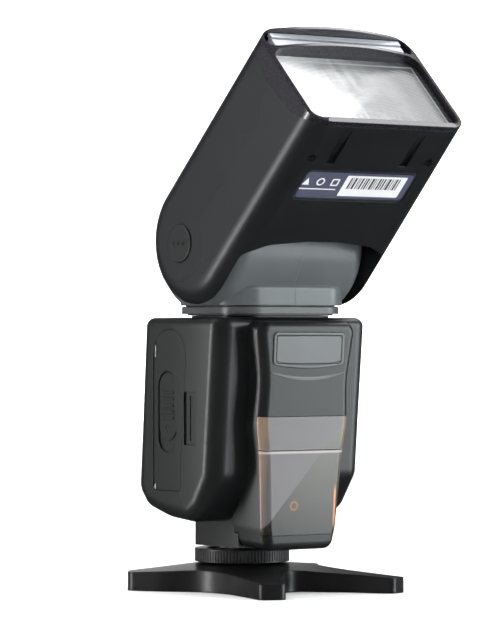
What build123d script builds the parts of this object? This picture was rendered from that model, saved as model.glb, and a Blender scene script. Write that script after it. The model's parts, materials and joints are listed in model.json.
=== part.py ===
from build123d import *
import math
import os

os.makedirs("parts", exist_ok=True)

# Speedlight flash on its table stand, in millimetres.
# Origin: mouth of the tripod thread under the stand. +Z up, the flash faces -Y.

# Body case
CASE_HALF = 35.5
CASE_TOP = 103.0
DECK_TOP = 103.7
CASE_CORNER = 6.0
RAKE_SLOPE = 0.064
RAKE = math.degrees(math.atan(RAKE_SLOPE))
WALL = 2.2
NOSE_FRONT = 39.4
REAR_FACE = 19.6
RAKE_HEIGHT = 60.0

# Battery bay for four AA cells stacked in one column
CELL_RADIUS = 7.25
CELL_LENGTH = 50.5
CELL_PITCH = 14.7
CELL_LOWEST = 45.7
CELL_START = -30.6

# Foot and stand
SHOE_WIDTH = 18.6
SHOE_THICK = 2.0
SHOE_FLOOR = 5.5
RING_RADIUS = 18.1
RING_LOW = 10.3
RING_HIGH = 15.3
RIDGES = 90
TRIPOD_RADIUS = 3.175

# Swivel and tilt
SWIVEL_Y = -11.5
PIVOT_Z = 130.6
TILT = 45.0
BARREL_RADIUS = 26.2
BARREL_CORNER = 8.0
NECK_HALF = 32.6
COLLAR_LOW = 104.4
COLLAR_HIGH = 107.2
NECK_LOW = 107.6
AXLE_RADIUS = 5.0
RUN_GAP = 0.06

# Head, in its own frame: x across, u forward from the tilt axle, v up
HEAD_TOP = 23.3
HEAD_BOTTOM = -27.0
HEAD_BACK = -21.0
HEAD_CORNER = 8.0
HEAD_HALF_BACK = 38.2
HEAD_HALF_FRONT = 35.8
HEAD_LENGTH = 96.0
SLOT_HALF = 33.3
SEAM_V = -2.2


# ---------------------------------------------------------------- helpers

def save(name, *solids):
    """Write one node; several loose solids go in as one group."""
    shape = solids[0] if len(solids) == 1 else Compound(children=list(solids))
    export_step(shape, f"parts/{name}.step")


def block(x0, x1, y0, y1, z0, z1):
    """Box given by its limits on each axis."""
    centre = Pos((x0 + x1) / 2, (y0 + y1) / 2, (z0 + z1) / 2)
    return centre * Box(x1 - x0, y1 - y0, z1 - z0)


def rod(radius, start, end):
    """Round bar between two points."""
    axis = Vector(*end) - Vector(*start)
    return extrude(Plane(origin=start, z_dir=axis) * Circle(radius), axis.length)


def tube(outer, inner, start, end):
    """Hollow round bar between two points."""
    return rod(outer, start, end) - rod(inner, start, end)


def rounded(points):
    """Flat face with corners given as (x, y, corner radius)."""
    joins = []
    for i in range(len(points)):
        here = Vector(points[i][0], points[i][1])
        back = Vector(points[i - 1][0], points[i - 1][1]) - here
        ahead_point = points[(i + 1) % len(points)]
        ahead = Vector(ahead_point[0], ahead_point[1]) - here
        back = back.normalized()
        ahead = ahead.normalized()
        half = math.radians(back.get_angle(ahead)) / 2
        reach = points[i][2] / math.tan(half)
        middle = (back + ahead).normalized() * (points[i][2] / math.sin(half) - points[i][2])
        joins.append((here + back * reach, here + middle, here + ahead * reach))
    edges = []
    for i in range(len(joins)):
        start, middle, end = joins[i]
        if (start - end).length > 0.001:
            edges.append(ThreePointArc(start, middle, end))
        following = joins[(i + 1) % len(joins)][0]
        if (following - end).length > 0.001:
            edges.append(Line(end, following))
    return make_face(Wire(edges))


def mirrored(points):
    """Close a half outline, given for x > 0, with its mirror image."""
    other = [(-x, y, r) for x, y, r in reversed(points)]
    return points + other


def along_x(face, x0, x1):
    """Prism along X from a face drawn in (Y, Z)."""
    return Pos(x0, 0, 0) * extrude(Plane.YZ * face, x1 - x0)


def along_y(face, y0, y1):
    """Prism along Y from a face drawn in (X, Z)."""
    plane = Plane(origin=(0, y1, 0), x_dir=(1, 0, 0), z_dir=(0, -1, 0))
    return extrude(plane * face, y1 - y0)


def along_z(face, z0, z1):
    """Prism along Z from a face drawn in (X, Y)."""
    return Pos(0, 0, z0) * extrude(face, z1 - z0)


def shrunk(face, inset):
    """The same face with its edge moved inwards."""
    return face if inset == 0 else offset(face, -inset)


def raked_y(y, z):
    """Y of a raked case plane that stands at y where z = RAKE_HEIGHT."""
    return y - RAKE_SLOPE * (z - RAKE_HEIGHT)


def on_rear(shape):
    """Place a piece drawn about the rear face: x across, y outwards, z up."""
    return Pos(0, REAR_FACE, RAKE_HEIGHT) * Rot(RAKE, 0, 0) * shape


def on_front(shape):
    """Place a piece drawn about the nose face: x across, -y outwards, z up."""
    return Pos(0, -NOSE_FRONT, RAKE_HEIGHT) * Rot(RAKE, 0, 0) * shape


def in_head(shape):
    """Place a piece drawn in the head's own frame, where y = -u and z = v."""
    return Pos(0, SWIVEL_Y, PIVOT_Z) * Rot(-TILT, 0, 0) * shape


def head_block(x0, x1, u0, u1, v0, v1):
    """Box in the head's own frame."""
    return block(x0, x1, -u1, -u0, v0, v1)


def cross_slots(radius, start, end, width):
    """Two crossed bars that cut a Phillips recess."""
    plane = Plane(origin=start, z_dir=end - start)
    depth = (end - start).length
    cross = Rectangle(2 * radius, width) + Rectangle(width, 2 * radius)
    return extrude(plane * cross, depth)


def screw(head_radius, shank_radius, top, axis, head_depth, length):
    """Pan-head screw whose head top is at `top`, driven along `axis`."""
    top = Vector(*top)
    axis = Vector(*axis).normalized()
    under = top + axis * head_depth
    tip = top + axis * length
    slot_end = top + axis * head_depth * 0.7
    body = rod(head_radius, top, under) + rod(shank_radius, under, tip)
    return body - cross_slots(head_radius * 0.6, top, slot_end, 0.5)


# ---------------------------------------------------------------- table stand

def stand_plan():
    """Bow-tie outline with long front arms and wide rear arms."""
    return rounded(mirrored([
        (20.0, 16.5, 20.0),
        (39.6, 19.5, 4.0),
        (44.6, 12.5, 3.5),
        (37.2, 0.0, 28.0),
        (27.0, -10.5, 22.0),
        (26.0, -26.0, 38.0),
        (30.4, -44.0, 30.0),
        (34.2, -56.5, 2.5),
        (25.2, -60.4, 2.5),
        (16.5, -45.5, 20.0),
        (3.0, -31.5, 6.5),
    ]))


def stand_crown():
    """Solid under the stand's upper surface, which sweeps up to the hub."""
    crown = Polyline([(0, -1), (70, -1), (70, 5.4), (52, 6.6)])
    crown += ThreePointArc((52, 6.6), (30.0, 8.2), (15.6, 9.6))
    crown += Polyline([(15.6, 9.6), (0, 9.6), (0, -1)])
    return revolve(Plane.XZ * make_face(crown), Axis.Z)


def stand():
    """Table stand with an open-backed accessory shoe in its hub."""
    plan = stand_plan()
    base = along_z(plan, 0, 9.6) & stand_crown()
    hollow = along_z(shrunk(plan, 2.4), 0, 2.8)
    base -= hollow - rod(9.0, (0, 0, -1), (0, 0, 4))
    for angle in (38, 142, 225, 315):
        rib = Rot(0, 0, angle) * block(8, 40, -0.8, 0.8, 0, 2.8)
        base += rib & along_z(shrunk(plan, 2.0), 0, 2.8)
    bay = SHOE_WIDTH / 2 + 0.15
    base -= block(-bay, bay, -10.2, 30, SHOE_FLOOR, 7.8)
    base -= block(-6.6, 6.6, -9.6, 30, 7.8, 12)
    base -= block(-1.3, 1.3, -9.4, 30, 4.3, 6)
    return base - rod(4.52, (0, 0, -1), (0, 0, 4.15))


save("stand", stand())
save("stand_insert", tube(4.5, TRIPOD_RADIUS, (0, 0, 0), (0, 0, 4.1)))


# ---------------------------------------------------------------- shoe foot

def shoe_foot():
    """Metal foot plate, threaded stem and mounting flange in one piece."""
    half = SHOE_WIDTH / 2
    low = SHOE_FLOOR + 0.1
    outline = rounded([(half, -9.8, 1.5), (half, 9.2, 3), (-half, 9.2, 3), (-half, -9.8, 1.5)])
    foot = along_z(outline, low, low + SHOE_THICK)
    foot += rod(6.3, (0, 0, low + SHOE_THICK), (0, 0, 16.6))
    foot += block(-12, 12, -10, 7.6, 16.5, 18.5)
    for groove in range(4):
        height = 11.2 + groove * 1.2
        foot -= tube(8.0, 5.9, (0, 0, height), (0, 0, height + 0.5))
    for x, y in pin_places():
        foot -= rod(0.95 if (x, y) != (0, 0) else 1.45, (x, y, 4), (x, y, 17))
    foot -= rod(1.05, (0, -8.0, 4), (0, -8.0, 9))
    for x, y in foot_screw_places():
        foot -= rod(2.05, (x, y, 15), (x, y, 17.05)) + rod(0.95, (x, y, 16), (x, y, 19))
    return foot


def pin_places():
    """Centre contact and the four smaller contacts behind and beside it."""
    return [(0, 0), (-3.2, 3.4), (3.2, 3.4), (-3.2, -3.2), (3.2, -3.2)]


def foot_screw_places():
    """Corners of the foot's mounting flange."""
    return [(-9.6, -7.4), (9.6, -7.4), (-9.6, 5.0), (9.6, 5.0)]


def contact_pin(x, y):
    """Sprung contact with a domed tip and a shoulder."""
    radius = 1.35 if (x, y) == (0, 0) else 0.85
    pin = rod(radius, (x, y, 5.55), (x, y, 16.0))
    return fillet(pin.edges().sort_by(Axis.Z)[0], 0.04 + radius * 0.1)


def lock_ring():
    """Knurled wheel on the threaded stem."""
    ring = tube(RING_RADIUS, 6.38, (0, 0, RING_LOW), (0, 0, RING_HIGH))
    flute = rod(0.34, (RING_RADIUS + 0.1, 0, RING_LOW + 0.5), (RING_RADIUS + 0.1, 0, RING_HIGH - 0.5))
    flutes = [Rot(0, 0, 360 / RIDGES * i) * flute for i in range(RIDGES)]
    ring -= flutes
    ring -= tube(13.5, 8.5, (0, 0, RING_HIGH - 1.0), (0, 0, RING_HIGH + 1))
    return ring


save("shoe_foot", shoe_foot())
save("contact_pins", *[contact_pin(x, y) for x, y in pin_places()])
save("lock_ring", lock_ring())
save("lock_pin", rod(1.0, (0, -8.0, 6.1), (0, -8.0, 10.2)))


# ---------------------------------------------------------------- body case

def case_side():
    """Side outline of the case in (Y, Z): raked, with a swept-up underside."""
    return [
        (raked_y(REAR_FACE, CASE_TOP), CASE_TOP, 0),
        (raked_y(-31.0, CASE_TOP), CASE_TOP, 0),
        (-28.4, 43.0, 9.0),
        (-20.0, 31.0, 9.0),
        (-13.0, 26.2, 9.0),
        (3.3, 27.8, 30.0),
        (15.4, 31.2, 7.5),
        (raked_y(REAR_FACE, 37.6), 37.6, 8.0),
    ]


def case_block(inset):
    """The main block of the case with soft edges."""
    profile = shrunk(rounded(case_side()), inset)
    solid = along_x(profile, -CASE_HALF + inset, CASE_HALF - inset)
    top = solid.faces().sort_by(Axis.Z)[-1]
    ends = solid.faces().filter_by(Axis.X)
    top_edges = [edge.center() for edge in top.edges()]
    rims = [e for face in ends for e in face.edges() if min((e.center() - t).length for t in top_edges) > 1]
    solid = fillet(rims, CASE_CORNER - inset)
    top = solid.faces().sort_by(Axis.Z)[-1]
    return fillet(top.edges(), 3.4 - inset)


def nose_outline():
    """Front view of the nose: waisted under the name plate, narrow at the foot."""
    return mirrored([
        (15.6, -44.2, 4.0),
        (17.4, -36.0, 12.0),
        (19.2, -9.0, 30.0),
        (21.0, 3.0, 12.0),
        (20.2, 20.0, 40.0),
        (23.3, 41.4, 4.5),
    ])


def nose(inset):
    """Front housing that stands proud of the case."""
    face = shrunk(rounded(nose_outline()), inset)
    solid = along_y(face, inset, 19.4)
    front = solid.faces().sort_by(Axis.Y)[0]
    return on_front(fillet(front.edges(), 3.2 - inset))


def case_split():
    """Everything in front of the raked joint between the two case halves."""
    outline = [(-11.9, 110), (-8.0, 43), (-12.3, 32.0), (-17.0, 27.1), (-17.0, 5), (-60, 5), (-60, 110)]
    line = Line(outline[0], outline[1]) + ThreePointArc(outline[1], (-8.8, 37.0), outline[2])
    line += Polyline([outline[i] for i in (2, 3, 4, 5, 6, 0)])
    return along_x(make_face(line), -50, 50)


def door_outline():
    """Tall arch outline of the battery door in (Y, Z)."""
    return rounded([
        (-12.9, 98.6, 10.2),
        (-8.6, 45.0, 60.0),
        (-8.9, 38.0, 2.0),
        (8.6, 38.0, 2.0),
        (8.6, 98.6, 10.2),
    ])


def bay_room(x0, x1, half):
    """Clear passage for the cells, with a round head to suit the arched door."""
    top = CELL_LOWEST + 3 * CELL_PITCH
    room = block(x0, x1, -half, half, CELL_LOWEST - half, top)
    return room + rod(half, (x0, 0, top), (x1, 0, top))


def display_outline(inset):
    """Rounded rectangle of the display window on the rear face."""
    half = 27.0 - inset
    corner = 2.6 - inset / 2
    return rounded(mirrored([(half, 5.0 + inset, corner), (half, 33.0 - inset, corner)]))


def soft_key_outline(x, inset):
    """One of the three keys under the display."""
    half = 4.6 - inset
    low = -2.2 + inset
    high = 1.6 - inset
    return rounded([(x + half, low, 1.2), (x + half, high, 1.2), (x - half, high, 1.2), (x - half, low, 1.2)])


def port_cover_shape(gap, x0):
    """Flush rubber flap; its front edge is rounded to turn about its own hinge line."""
    centre = PORT_COVER_AXIS
    half = 0.575
    flap = block(x0, 35.5 + gap, centre[1], -12.6 + gap, 58.1 - gap, 87.9 + gap)
    return flap + rod(half + gap, (*centre, 58.1 - gap), (*centre, 87.9 + gap))


PORT_Y = -17.5
PORT_HEIGHTS = (66.0, 80.0)
PORT_COVER_AXIS = (34.925, -21.825)
DOOR_INNER = -34.1
DOOR_AXIS = (-34.8, 7.9)
DOOR_EDGE = 8.6
HINGE_PIN_RADIUS = 0.4
SOFT_KEYS = (-17.0, 0.0, 17.0)
PAD_X = 12.0
PAD_Z = -10.5
PAD_RADIUS = 7.2
TEST_X = -6.0
TEST_Z = -9.0
TEST_RADIUS = 3.0
SWITCH_Z = -12.0
CASE_SCREWS = ((-26.0, 36.4), (26.0, 36.4), (-27.0, -18.0), (27.0, -18.0))

def rounded_box(half_x, half_y, corner, z0, z1):
    """Rounded block centred on the swivel axis."""
    points = [(half_x, -half_y, corner), (half_x, half_y, corner), (-half_x, half_y, corner), (-half_x, -half_y, corner)]
    return Pos(0, SWIVEL_Y, 0) * along_z(rounded(points), z0, z1)


CASE = case_block(0)
NOSE = nose(0)
OUTER = CASE + NOSE
INNER = case_block(WALL) + nose(WALL)
SHELL = OUTER - INNER + rounded_box(24.0, 17.6, 9.5, CASE_TOP - 0.5, DECK_TOP)
SPLIT = case_split()
DOOR_RECESS = along_x(offset(door_outline(), 0.12), -37, DOOR_INNER + 0.05)
FOOT_HOLLOW = block(-11.0, 11.0, -17.0, 5.6, 18.5, 36)


def window_zone(z0, z1):
    """Slab of the nose's front skin between two heights."""
    skin = NOSE - nose(1.7)
    return skin & on_front(block(-30, 30, -1, 3.0, z0 - RAKE_HEIGHT, z1 - RAKE_HEIGHT))


UPPER_WINDOW = window_zone(53.6, 66.0)
LOWER_WINDOW = window_zone(21.6, 53.2)


def name_plate_outline(inset):
    """Rounded plate with a slightly bowed lower edge."""
    half = 16.5 - inset
    top = 37.4 - inset
    line = Polyline([(-half, 25.6 + inset), (-half, top), (half, top), (half, 25.6 + inset)])
    line += ThreePointArc((half, 25.6 + inset), (0, 24.2 + inset), (-half, 25.6 + inset))
    return fillet(make_face(line).vertices(), 1.6 - inset)


def front_case():
    """Front half of the case with the nose."""
    shell = SHELL & SPLIT
    shell -= rod(14.0, (0, SWIVEL_Y, 95), (0, SWIVEL_Y, 110))
    shell -= DOOR_RECESS
    shell -= window_zone(21.5, 66.1)
    shell -= on_front(block(-15.5, 15.5, -2, 6, 24.5 - RAKE_HEIGHT, 51.5 - RAKE_HEIGHT))
    shell -= on_front(block(-16.5, 16.5, -2, 6, 55.5 - RAKE_HEIGHT, 64.0 - RAKE_HEIGHT))
    shell -= on_front(along_y(name_plate_outline(-0.1), -2, 0.8))
    # finger notch beside the battery door
    shell -= block(-36, -34.6, -18.5, -11.0, 55.4, 75.2)
    shell -= block(-36, -34.2, -15.2, -13.6, 57.0, 73.6)
    # well for the port cover and its two sockets
    shell -= port_cover_shape(0.1, 34.3)
    for z in PORT_HEIGHTS:
        shell -= rod(3.0, (30, PORT_Y, z), (36, PORT_Y, z))
    return shell - FOOT_HOLLOW


def rear_case():
    """Rear half of the case with the display, keys and battery opening."""
    shell = SHELL - SPLIT
    shell -= rod(14.0, (0, SWIVEL_Y, 95), (0, SWIVEL_Y, 110))
    shell -= DOOR_RECESS
    shell -= bay_room(-37, -30, 7.6)
    shell -= rod(HINGE_PIN_RADIUS, (*DOOR_AXIS, 36.4), (*DOOR_AXIS, 93.6))
    shell -= on_rear(along_y(display_outline(0), -1.2, 2))
    shell -= on_rear(along_y(display_outline(2.4), -6, 2))
    for x in SOFT_KEYS:
        shell -= on_rear(along_y(soft_key_outline(x, 0), -6, 2))
    shell -= on_rear(rod(PAD_RADIUS + 0.12, (PAD_X, -6, PAD_Z), (PAD_X, 2, PAD_Z)))
    shell -= on_rear(rod(TEST_RADIUS + 0.12, (TEST_X, -6, TEST_Z), (TEST_X, 2, TEST_Z)))
    shell -= on_rear(block(-24.0, -12.0, -6, 2, SWITCH_Z - 1.6, SWITCH_Z + 1.6))
    for x, z in CASE_SCREWS:
        shell -= on_rear(rod(2.1, (x, -1.4, z), (x, 2, z)) + rod(0.95, (x, -6, z), (x, 2, z)))
    return shell - FOOT_HOLLOW


save("front_case", front_case())
save("rear_case", rear_case())


# ---------------------------------------------------------------- front fittings

def window_tray():
    """Black bulkhead behind the smoked windows, with holes for the lamps."""
    face = shrunk(rounded(nose_outline()), WALL + 0.15)
    tray = along_y(face, 4.2, 5.4) & block(-30, 30, -1, 20, -37.5, 7.0)
    tray -= rod(3.1, (0, 0, -26.0), (0, 10, -26.0))
    tray -= rod(2.6, (0, 0, -0.5), (0, 10, -0.5))
    return on_front(tray)


def focus_lamp():
    """Red focus-assist lamp with its collar."""
    lamp = rod(3.0, (0, 4.4, -26.0), (0, 10.0, -26.0)) + rod(4.2, (0, 5.45, -26.0), (0, 6.6, -26.0))
    lamp += rod(2.0, (0, 2.6, -26.0), (0, 4.4, -26.0))
    return on_front(lamp)


def slave_sensor():
    """Light cell behind the upper window."""
    cell = rod(2.5, (0, 3.2, -0.5), (0, 8.0, -0.5)) + rod(3.6, (0, 5.45, -0.5), (0, 6.4, -0.5))
    return on_front(cell)


def name_plate():
    """Raised plate with a grooved border and a blank field."""
    plate = along_y(name_plate_outline(0), -0.45, 0.75)
    plate -= along_y(name_plate_outline(0.9), -1, -0.15) - along_y(name_plate_outline(1.3), -2, 0)
    return on_front(plate)


save("window_upper", UPPER_WINDOW)
save("window_lower", LOWER_WINDOW)
save("window_tray", window_tray())
save("focus_lamp", focus_lamp())
save("slave_sensor", slave_sensor())
save("name_plate", name_plate())


# ---------------------------------------------------------------- foot block

def foot_block():
    """Block under the case that carries the shoe foot."""
    plan = rounded([(16.8, -19.95, 0.2), (16.8, 10.0, 4.0), (-16.8, 10.0, 4.0), (-16.8, -19.95, 0.2)])
    solid = along_z(plan, 16.6, 33.0) - CASE - NOSE
    solid = solid.solids().sort_by(SortBy.VOLUME)[-1]
    solid -= block(-12.1, 12.1, -10.1, 7.7, 16, 18.55)
    solid -= block(-8.0, 8.0, -8.0, 4.0, 18.5, 40)
    for x, y in foot_screw_places():
        solid -= rod(0.95, (x, y, 16), (x, y, 24))
    return solid


save("foot_block", foot_block())
save("foot_screws", *[screw(2.0, 0.9, (x, y, 15.9), (0, 0, 1), 1.15, 6.1) for x, y in foot_screw_places()])


# ---------------------------------------------------------------- battery bay

def cell_heights():
    """Centre heights of the four cells."""
    return [CELL_LOWEST + CELL_PITCH * i for i in range(4)]


def battery_box():
    """Open-ended tray for the cells, with ribs between them."""
    end = CELL_START + CELL_LENGTH + 0.8
    box = bay_room(-33.1, end + 1.4, 8.7) - bay_room(-40, end, 7.55)
    for i in range(3):
        height = CELL_LOWEST + CELL_PITCH * (i + 0.5)
        for y in (-7.2, 7.2):
            box += block(-28, 15, y - 0.6, y + 0.6, height - 0.4, height + 0.4)
    return box


def cell(height, flip):
    """AA cell with its positive button at one end."""
    near = CELL_START + (1.0 if flip else 0)
    far = CELL_START + CELL_LENGTH - (0 if flip else 1.0)
    body = rod(CELL_RADIUS, (near, 0, height), (far, 0, height))
    return body + rod(2.7, (CELL_START, 0, height), (CELL_START + CELL_LENGTH, 0, height)) - (
        rod(3.0, (CELL_START - 1, 0, height), (CELL_START, 0, height)))


def end_contacts():
    """Nickel strips at the inner end of the bay."""
    x = CELL_START + CELL_LENGTH + 0.1
    heights = cell_heights()
    groups = (heights[0:1], heights[1:3], heights[3:4])
    return [block(x, x + 0.6, -4.5, 4.5, g[0] - 5, g[-1] + 4.5) for g in groups]


def door_contacts():
    """Nickel strips on the door, each with two round bumps."""
    strips = []
    heights = cell_heights()
    for low, high in (heights[0:2], heights[2:4]):
        strip = block(-33.2, -32.7, -4.5, 4.5, low - 5, high + 4)
        for height in (low, high):
            strip += rod(2.5, (-32.7, 0, height), (-30.75, 0, height))
        strips.append(strip)
    return strips


def latch_slot(radius, low, high):
    """Long round-ended outline for the latch and its recess, in (Y, Z)."""
    front = -0.3 - radius
    rear = -0.3 + radius
    return rounded([(front, low, radius), (front, high, radius), (rear, high, radius), (rear, low, radius)])


def battery_door():
    """Arched door panel with a long latch recess; its rear edge turns on a pin."""
    panel = along_x(door_outline(), -CASE_HALF, DOOR_INNER) & CASE
    panel -= block(-40, -30, DOOR_AXIS[1], 12, 30, 110)
    panel -= block(-40, -30, DOOR_AXIS[1] - 1.0, 12, 30, 40.1) + block(-40, -30, DOOR_AXIS[1] - 1.0, 12, 88.1, 110)
    panel += rod(DOOR_EDGE - DOOR_AXIS[1], (*DOOR_AXIS, 40.1), (*DOOR_AXIS, 88.1))
    panel += bay_room(DOOR_INNER, -33.2, 7.2)
    panel -= rod(HINGE_PIN_RADIUS + 0.05, (*DOOR_AXIS, 30), (*DOOR_AXIS, 100))
    panel -= along_x(latch_slot(5.75, 52.3, 82.8), -36, -34.7)
    return panel - block(-35, -33, -2.1, 1.5, 61.0, 78.1)


def door_latch():
    """Thumb slide with five grip ribs and an arrow."""
    slide = along_x(latch_slot(5.3, 56.8, 82.4), -35.15, -34.75)
    slide += block(-34.75, -33.6, -1.9, 1.3, 66.5, 77.9)
    for i in range(5):
        height = 65.2 + 2.4 * i
        slide += block(-35.45, -35.15, -3.9, 3.3, height - 0.6, height + 0.6)
    arrow = Polyline([(-2.3, 62.4), (1.7, 62.4), (-0.3, 59.4), (-2.3, 62.4)])
    return slide - along_x(make_face(arrow), -36, -35.0)


save("battery_box", battery_box())
save("battery_cells", *[cell(h, i % 2 == 0) for i, h in enumerate(cell_heights())])
save("bay_contacts", *end_contacts())
save("battery_door", battery_door())
save("door_contacts", *door_contacts())
save("door_latch", door_latch())
save("door_pin", rod(HINGE_PIN_RADIUS, (*DOOR_AXIS, 36.4), (*DOOR_AXIS, 93.6)))


# ---------------------------------------------------------------- electronics

def main_board():
    """Control board behind the battery bay, with its larger chips."""
    board = block(-31, 31, 9.4, 11.0, 44, 96)
    for x, z, wide, tall in ((-14, 78, 14, 14), (12, 84, 8, 10), (10, 70, 16, 6)):
        board += block(x - wide / 2, x + wide / 2, 11.0, 12.2, z - tall / 2, z + tall / 2)
    return board


def power_board():
    """Charging board in front of the battery bay, with transformer and coil."""
    board = block(-31, 31, -10.6, -9.0, 40, 96)
    board += block(-28, -14, -20.5, -10.6, 74, 88)
    board += rod(5.5, (21, -20.5, 78), (21, -10.6, 78))
    return board + block(15, 28, -14.5, -10.6, 48, 60)


def key_board():
    """Small board with a switch under every key."""
    board = block(-25.5, 22, -7.6, -6.2, -17.0, 2.5)
    for x in SOFT_KEYS:
        board += block(x - 2, x + 2, -6.2, -3.9, -1.9, 1.3)
    board += rod(2.0, (TEST_X, -6.2, TEST_Z), (TEST_X, -3.9, TEST_Z))
    board += rod(2.0, (PAD_X, -6.2, PAD_Z), (PAD_X, -3.95, PAD_Z))
    for x, z in ((5.2, 0), (-5.2, 0), (0, 5.0), (0, -4.4)):
        board += block(PAD_X + x - 1, PAD_X + x + 1, -6.2, -3.8, PAD_Z + z - 1, PAD_Z + z + 1)
    board += block(-23.5, -12.5, -6.2, -3.6, SWITCH_Z - 2, SWITCH_Z + 2)
    return on_rear(board & block(-40, 40, -8, 8, -16.6, 2.5))


def capacitor():
    """Main flash capacitor, standing against the charging board."""
    can = rod(9.5, (0, -20.15, 38), (0, -20.15, 92))
    return fillet(can.edges().filter_by(GeomType.CIRCLE), 1.0)


save("main_board", main_board())
save("power_board", power_board())
save("key_board", key_board())
save("flash_capacitor", capacitor())


# ---------------------------------------------------------------- rear fittings

def arrow_pad():
    """Four-way pad with a hole for the set key."""
    pad = rod(PAD_RADIUS, (PAD_X, -3.3, PAD_Z), (PAD_X, 0.8, PAD_Z))
    pad += rod(PAD_RADIUS + 0.35, (PAD_X, -3.3, PAD_Z), (PAD_X, -2.3, PAD_Z))
    return on_rear(pad - rod(3.35, (PAD_X, -4, PAD_Z), (PAD_X, 2, PAD_Z)))


def soft_key(x):
    """Key with a retaining flange behind the case wall."""
    key = along_y(soft_key_outline(x, 0.12), -2.3, 0.7)
    return on_rear(key + along_y(soft_key_outline(x, -0.6), -3.3, -2.3))


def power_switch():
    """Sliding switch knob on a flat carrier."""
    knob = block(-23.2, -18.6, -2.3, 1.1, SWITCH_Z - 1.4, SWITCH_Z + 1.4)
    for i in range(4):
        x = -22.3 + 0.95 * i
        knob -= block(x - 0.15, x + 0.15, 0.7, 2, SWITCH_Z - 2, SWITCH_Z + 2)
    return on_rear(knob + block(-23.6, -18.2, -3.3, -2.3, SWITCH_Z - 2.4, SWITCH_Z + 2.4))


def test_button():
    """Round test and charge-lamp button."""
    button = rod(TEST_RADIUS, (TEST_X, -3.3, TEST_Z), (TEST_X, 0.8, TEST_Z))
    return on_rear(button + rod(TEST_RADIUS + 0.8, (TEST_X, -3.3, TEST_Z), (TEST_X, -2.3, TEST_Z)))


def socket(z, holes):
    """Round socket behind the port cover."""
    body = rod(3.0, (27.5, PORT_Y, z), (34.2, PORT_Y, z))
    for y, dz, radius in holes:
        body -= rod(radius, (29.5, PORT_Y + y, z + dz), (35, PORT_Y + y, z + dz))
    return body


save("display_window", on_rear(along_y(display_outline(0.05), -1.15, 0.1)))
save("display_panel", on_rear(along_y(display_outline(2.5), -5.0, -1.2)))
for index, x in enumerate(SOFT_KEYS):
    save(f"soft_key_{index + 1}", soft_key(x))
save("arrow_pad", arrow_pad())
save("set_key", on_rear(rod(3.2, (PAD_X, -3.35, PAD_Z), (PAD_X, 1.0, PAD_Z))))
save("test_button", test_button())
save("power_switch", power_switch())
save("port_cover", port_cover_shape(0, 34.35) & CASE)
sync_socket = socket(PORT_HEIGHTS[0], [(0, 0, 1.25)])
power_socket = socket(PORT_HEIGHTS[1], [(-1.3, -0.8, 0.5), (1.3, -0.8, 0.5), (0, 1.4, 0.5)])
save("side_sockets", sync_socket, power_socket)
case_screws = [screw(2.0, 0.95, (x, -0.25, z), (0, -1, 0), 1.15, 5.0) for x, z in CASE_SCREWS]
save("case_screws", *[on_rear(item) for item in case_screws])


# ---------------------------------------------------------------- swivel neck

def swivel_collar():
    """Flared collar that turns with the head, over a narrower step."""
    collar = rounded_box(26.8, 21.3, 11.0, COLLAR_LOW, COLLAR_HIGH)
    collar = fillet(collar.edges().group_by(Axis.Z)[-1], 0.6)
    collar += rounded_box(25.2, 19.4, 10.5, DECK_TOP + 0.1, COLLAR_LOW)
    collar -= rod(10.5, (0, SWIVEL_Y, 100), (0, SWIVEL_Y, 110))
    return collar


def swivel_hub():
    """Flanged bush that holds the collar down through the case roof."""
    roof = CASE_TOP - WALL - 0.06
    hub = tube(13.94, 10.5, (0, SWIVEL_Y, roof - 0.04), (0, SWIVEL_Y, CASE_TOP + 0.35))
    return hub + tube(16.5, 10.5, (0, SWIVEL_Y, roof - 1.44), (0, SWIVEL_Y, roof))


def barrel_form():
    """Round-ended drum about the tilt axis."""
    corner = Vector(NECK_HALF - BARREL_CORNER, BARREL_RADIUS - BARREL_CORNER)
    middle = corner + Vector(1, 1).normalized() * BARREL_CORNER
    half = Polyline([(0, BARREL_RADIUS), (0, 0), (NECK_HALF, 0), (NECK_HALF, corner.Y)])
    half += ThreePointArc((NECK_HALF, corner.Y), (middle.X, middle.Y), (corner.X, BARREL_RADIUS))
    half += Line((corner.X, BARREL_RADIUS), (0, BARREL_RADIUS))
    side = revolve(make_face(half), Axis.X)
    return Pos(0, SWIVEL_Y, PIVOT_Z) * (side + mirror(side, Plane.YZ))


def neck():
    """Barrel that carries the tilt axle, on a rounded block."""
    centre = Pos(SWIVEL_Y, PIVOT_Z)
    flat = 20.8
    face = centre * Rectangle(80, 80)
    face -= centre * Pos(0, flat + 20) * Rectangle(80, 40)
    face -= centre * Pos(flat + 20, 0) * Rectangle(40, 80)
    face -= centre * Pos(20, 20) * Rectangle(40, 40) - centre * Circle(flat)
    barrel = barrel_form() & along_x(face, -NECK_HALF, NECK_HALF)
    barrel &= block(-40, 40, -60, 60, NECK_LOW, 170)
    stump = rounded_box(28.2, 20.4, 11.5, NECK_LOW, 116.0)
    stump += Pos(0, -1.4, 0) * stump
    stump = fillet(stump.edges().group_by(Axis.Z)[-1], 2.6)
    solid = barrel + stump + rounded_box(25.6, 20.0, 10.5, COLLAR_HIGH, NECK_LOW)
    axis = (SWIVEL_Y, PIVOT_Z)
    solid -= rod(AXLE_RADIUS, (-40, *axis), (40, *axis))
    solid -= rod(14.0, (-19, *axis), (19, *axis))
    return solid - rod(9.0, (0, SWIVEL_Y, 100), (0, SWIVEL_Y, PIVOT_Z))


NECK = neck()
save("swivel_collar", swivel_collar())
save("swivel_hub", swivel_hub())
save("neck_left", NECK & block(-50, 0, -60, 40, 90, 170))
save("neck_right", NECK & block(0, 50, -60, 40, 90, 170))
save("tilt_axle", tube(AXLE_RADIUS, 3.2, (-34.6, SWIVEL_Y, PIVOT_Z), (34.6, SWIVEL_Y, PIVOT_Z)))


# ---------------------------------------------------------------- head shells

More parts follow.
